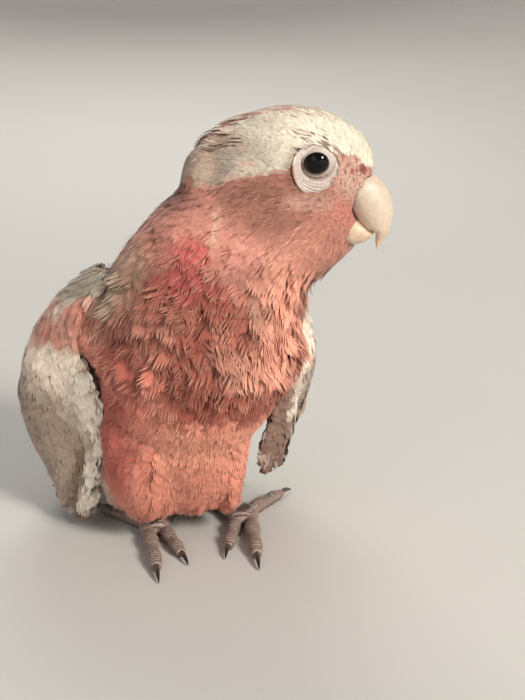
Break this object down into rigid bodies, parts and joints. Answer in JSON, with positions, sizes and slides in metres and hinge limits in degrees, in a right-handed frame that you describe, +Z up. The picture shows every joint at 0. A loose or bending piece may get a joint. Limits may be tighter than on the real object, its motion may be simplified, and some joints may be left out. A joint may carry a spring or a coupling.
{
  "type": "galah",
  "caption": "A galah, a pink and grey cockatoo, as a still life-size model that stands on its feet with its head turned to its left.",
  "frame": {"origin": "on the floor, under the middle of the model's box", "axes": "+Z up, -Y the way the breast and feet face, +X the bird's left"},
  "size_m": [0.1242, 0.2204, 0.1535],
  "materials": {
    "pink_plumage": "soft matt feathers, salmon to rose pink",
    "white_plumage": "short matt feathers, cream white with rose streaks",
    "grey_plumage": "matt feathers, pale grey with whitish edges",
    "tail_plumage": "satin vanes, mid grey, darker towards the end",
    "leg_hide": "dry scaled hide, grey brown, mealy in the creases",
    "claw_horn": "satin dark grey horn",
    "bill_horn": "satin bone-coloured horn with a chalky bloom",
    "eye": "wet gloss, nearly black brown"
  },
  "bodies": {
    "root": {"trunk": "pink_plumage", "neck": "pink_plumage", "thigh_right": "pink_plumage", "thigh_left": "pink_plumage", "head": "white_plumage", "crest": "white_plumage", "wing_right": "grey_plumage", "wing_left": "grey_plumage", "tail": "tail_plumage", "shank_right": "leg_hide", "foot_right": "leg_hide", "shank_left": "leg_hide", "foot_left": "leg_hide", "toe_right_1": "leg_hide", "toe_right_2": "leg_hide", "toe_right_3": "leg_hide", "toe_right_4": "leg_hide", "toe_left_1": "leg_hide", "toe_left_2": "leg_hide", "toe_left_3": "leg_hide", "toe_left_4": "leg_hide", "claw_right_1": "claw_horn", "claw_right_2": "claw_horn", "claw_right_3": "claw_horn", "claw_right_4": "claw_horn", "claw_left_1": "claw_horn", "claw_left_2": "claw_horn", "claw_left_3": "claw_horn", "claw_left_4": "claw_horn", "upper_bill": "bill_horn", "lower_bill": "bill_horn", "eye_right": "eye", "eye_left": "eye"}
  },
  "joints": []
}
